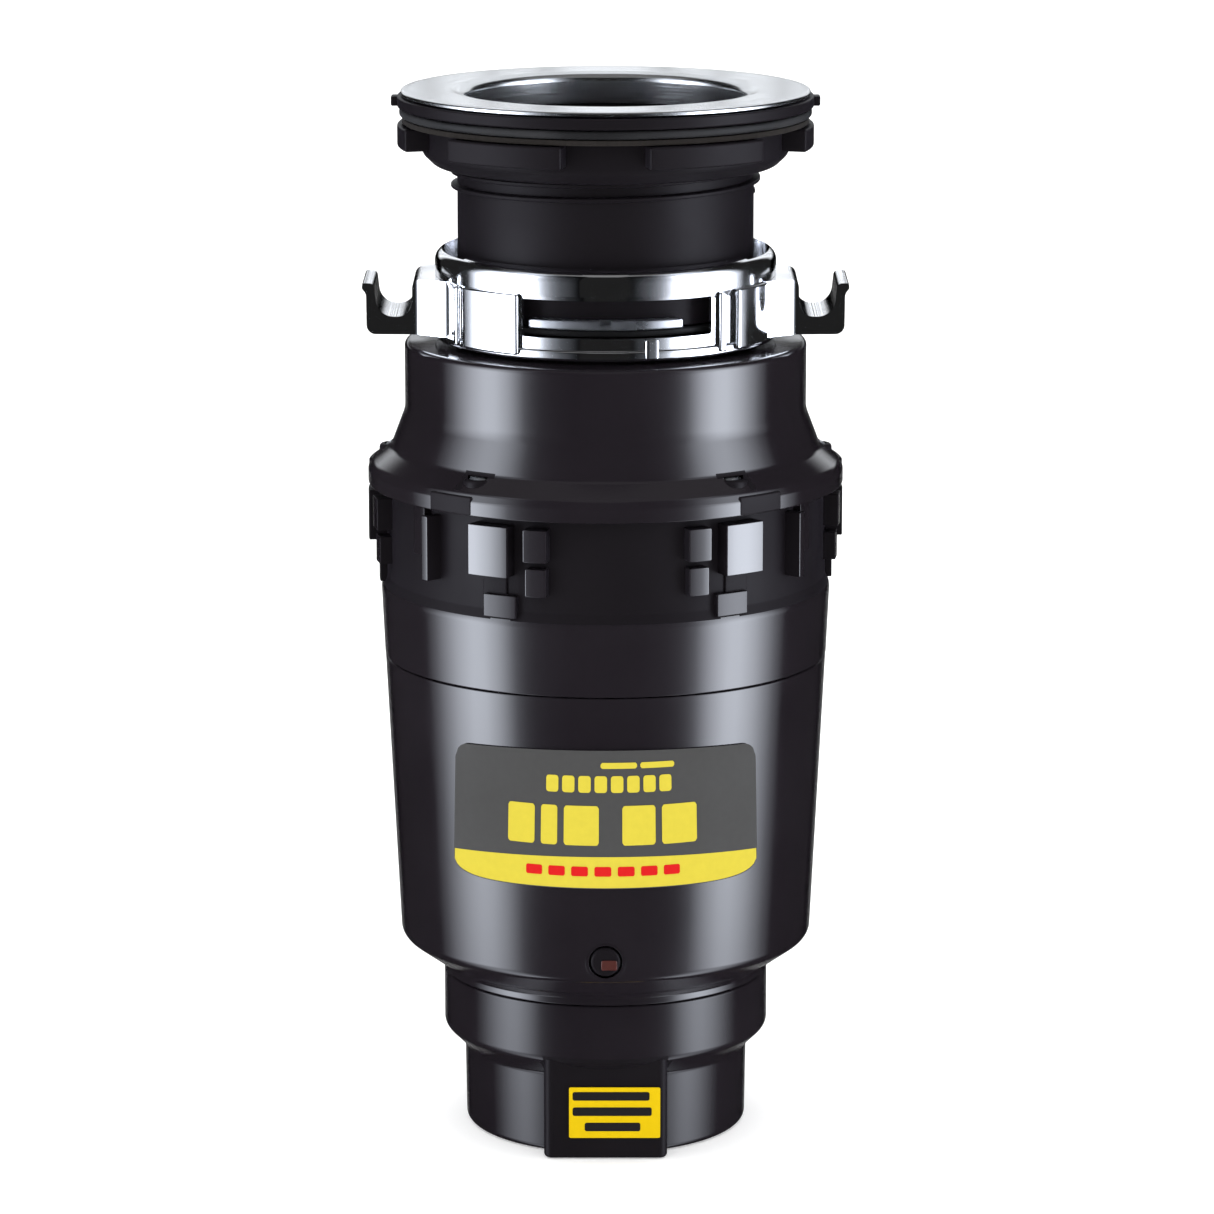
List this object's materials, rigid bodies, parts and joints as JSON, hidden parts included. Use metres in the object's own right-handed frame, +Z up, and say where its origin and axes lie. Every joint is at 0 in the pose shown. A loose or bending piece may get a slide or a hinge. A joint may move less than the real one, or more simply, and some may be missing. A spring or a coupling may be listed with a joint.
{
  "type": "kitchen garbage disposal",
  "caption": "Under-sink food waste disposer: chrome bayonet ring, threaded sink collar, bell-shaped hopper, tapered motor body and stepped base.",
  "frame": {"origin": "centre of the flat base", "axes": "+Z up along the motor shaft to the sink flange, front with label and reset button towards -Y, drain outlet towards +Y"},
  "size_m": [0.136, 0.1473, 0.298],
  "materials": {
    "black_gloss": "polished moulded black plastic",
    "black_inner": "moulded black plastic",
    "rubber": "moulded rubber",
    "fibre": "pressed fibre",
    "chrome": "polished chrome plate",
    "stainless": "brushed stainless steel",
    "steel": "zinc plated steel",
    "bearing_steel": "ground bearing steel",
    "ferrite": "sintered ferrite",
    "copper": "enamelled copper",
    "brass": "bright brass",
    "carbon": "pressed carbon",
    "cast_aluminium": "as cast",
    "label_grey": "printed film with a yellow foot",
    "label_yellow": "printed yellow film",
    "red_button": "moulded red plastic"
  },
  "bodies": {
    "housing": {"sink_flange": "stainless", "mount_tube": "black_gloss", "flange_gasket": "rubber", "splash_baffle": "rubber", "snap_ring": "steel", "hopper": "black_gloss", "hopper_gasket": "rubber", "grind_housing": "black_gloss", "shredder_ring": "stainless", "shaft_seal": "rubber", "drain_gasket": "rubber", "drain_flange": "steel", "drain_screw_a": "steel", "drain_screw_b": "steel", "cap_screw_a": "steel", "cap_screw_b": "steel", "upper_bearing_outer": "bearing_steel", "lower_bearing_outer": "bearing_steel", "motor_can": "steel", "magnet_a": "ferrite", "magnet_b": "ferrite", "brush_holder_a": "brass", "brush_holder_b": "brass", "brush_spring_a": "steel", "brush_spring_b": "steel", "lower_end_plate": "cast_aluminium", "motor_shell": "black_gloss", "bottom_cap": "black_gloss", "cord_gland": "rubber", "terminal_block": "black_inner", "overload_protector": "black_inner", "reset_spring": "steel", "main_label": "label_grey", "reset_label": "label_yellow", "hopper_screw_1": "steel", "hopper_screw_2": "steel", "hopper_screw_3": "steel", "hopper_screw_4": "steel", "hopper_screw_5": "steel", "hopper_screw_6": "steel"},
    "rotor": {"shaft": "steel", "turntable": "stainless", "rivet_a": "stainless", "rivet_b": "stainless", "turntable_nut": "stainless", "upper_bearing_inner": "bearing_steel", "lower_bearing_inner": "bearing_steel", "armature_core": "steel", "windings": "copper", "commutator": "copper"},
    "impeller_a": {"impeller_a": "stainless"},
    "impeller_b": {"impeller_b": "stainless"},
    "upper_cage": {"upper_bearing_cage": "bearing_steel"},
    "lower_cage": {"lower_bearing_cage": "bearing_steel"},
    "lock_ring": {"mount_ring": "chrome"},
    "clamp_washer": {"fibre_washer": "fibre"},
    "nut": {"support_nut": "black_gloss"},
    "reset_button": {"reset_button": "red_button"},
    "brush_a": {"brush_a": "carbon"},
    "brush_b": {"brush_b": "carbon"}
  },
  "joints": [
    {"name": "rotor_spin", "type": "hinge", "parent": "housing", "child": "rotor", "pos_m": [0, 0, 0], "axis": [0, 0, 1], "continuous": true},
    {"name": "impeller_a_swing", "type": "hinge", "parent": "rotor", "child": "impeller_a", "pos_m": [0.032, 0, 0.168], "axis": [0, 0, 1], "continuous": true},
    {"name": "impeller_b_swing", "type": "hinge", "parent": "rotor", "child": "impeller_b", "pos_m": [-0.032, 0, 0.168], "axis": [0, 0, 1], "continuous": true},
    {"name": "upper_cage_spin", "type": "hinge", "parent": "housing", "child": "upper_cage", "pos_m": [0, 0, 0], "axis": [0, 0, 1], "continuous": true},
    {"name": "lower_cage_spin", "type": "hinge", "parent": "housing", "child": "lower_cage", "pos_m": [0, 0, 0], "axis": [0, 0, 1], "continuous": true},
    {"name": "mount_ring_turn", "type": "hinge", "parent": "housing", "child": "lock_ring", "pos_m": [0, 0, 0.24], "axis": [0, 0, 1], "range_deg": [0, 90]},
    {"name": "nut_travel", "type": "slide", "parent": "housing", "child": "clamp_washer", "axis": [0, 0, -1], "range_m": [0, 0.008]},
    {"name": "nut_turn", "type": "hinge", "parent": "clamp_washer", "child": "nut", "pos_m": [0, 0, 0.28], "axis": [0, 0, -1], "range_deg": [0, 720]},
    {"name": "reset_press", "type": "slide", "parent": "housing", "child": "reset_button", "axis": [0, 1, 0], "range_m": [0, 0.002], "stiffness_N_per_m": 800, "springref_m": -0.001, "deforming": ["reset_spring"]},
    {"name": "brush_a_slide", "type": "slide", "parent": "housing", "child": "brush_a", "axis": [1, 0, 0], "range_m": [0, 0.002], "stiffness_N_per_m": 200, "springref_m": -0.003, "deforming": ["brush_spring_a"]},
    {"name": "brush_b_slide", "type": "slide", "parent": "housing", "child": "brush_b", "axis": [-1, 0, 0], "range_m": [0, 0.002], "stiffness_N_per_m": 200, "springref_m": -0.003, "deforming": ["brush_spring_b"]}
  ],
  "couplings": [
    {"joint": "upper_cage_spin", "follows": "rotor_spin", "ratio": 0.36818},
    {"joint": "lower_cage_spin", "follows": "rotor_spin", "ratio": 0.36818},
    {"joint": "nut_travel", "follows": "nut_turn", "m_per_rad": 0.0006366}
  ]
}
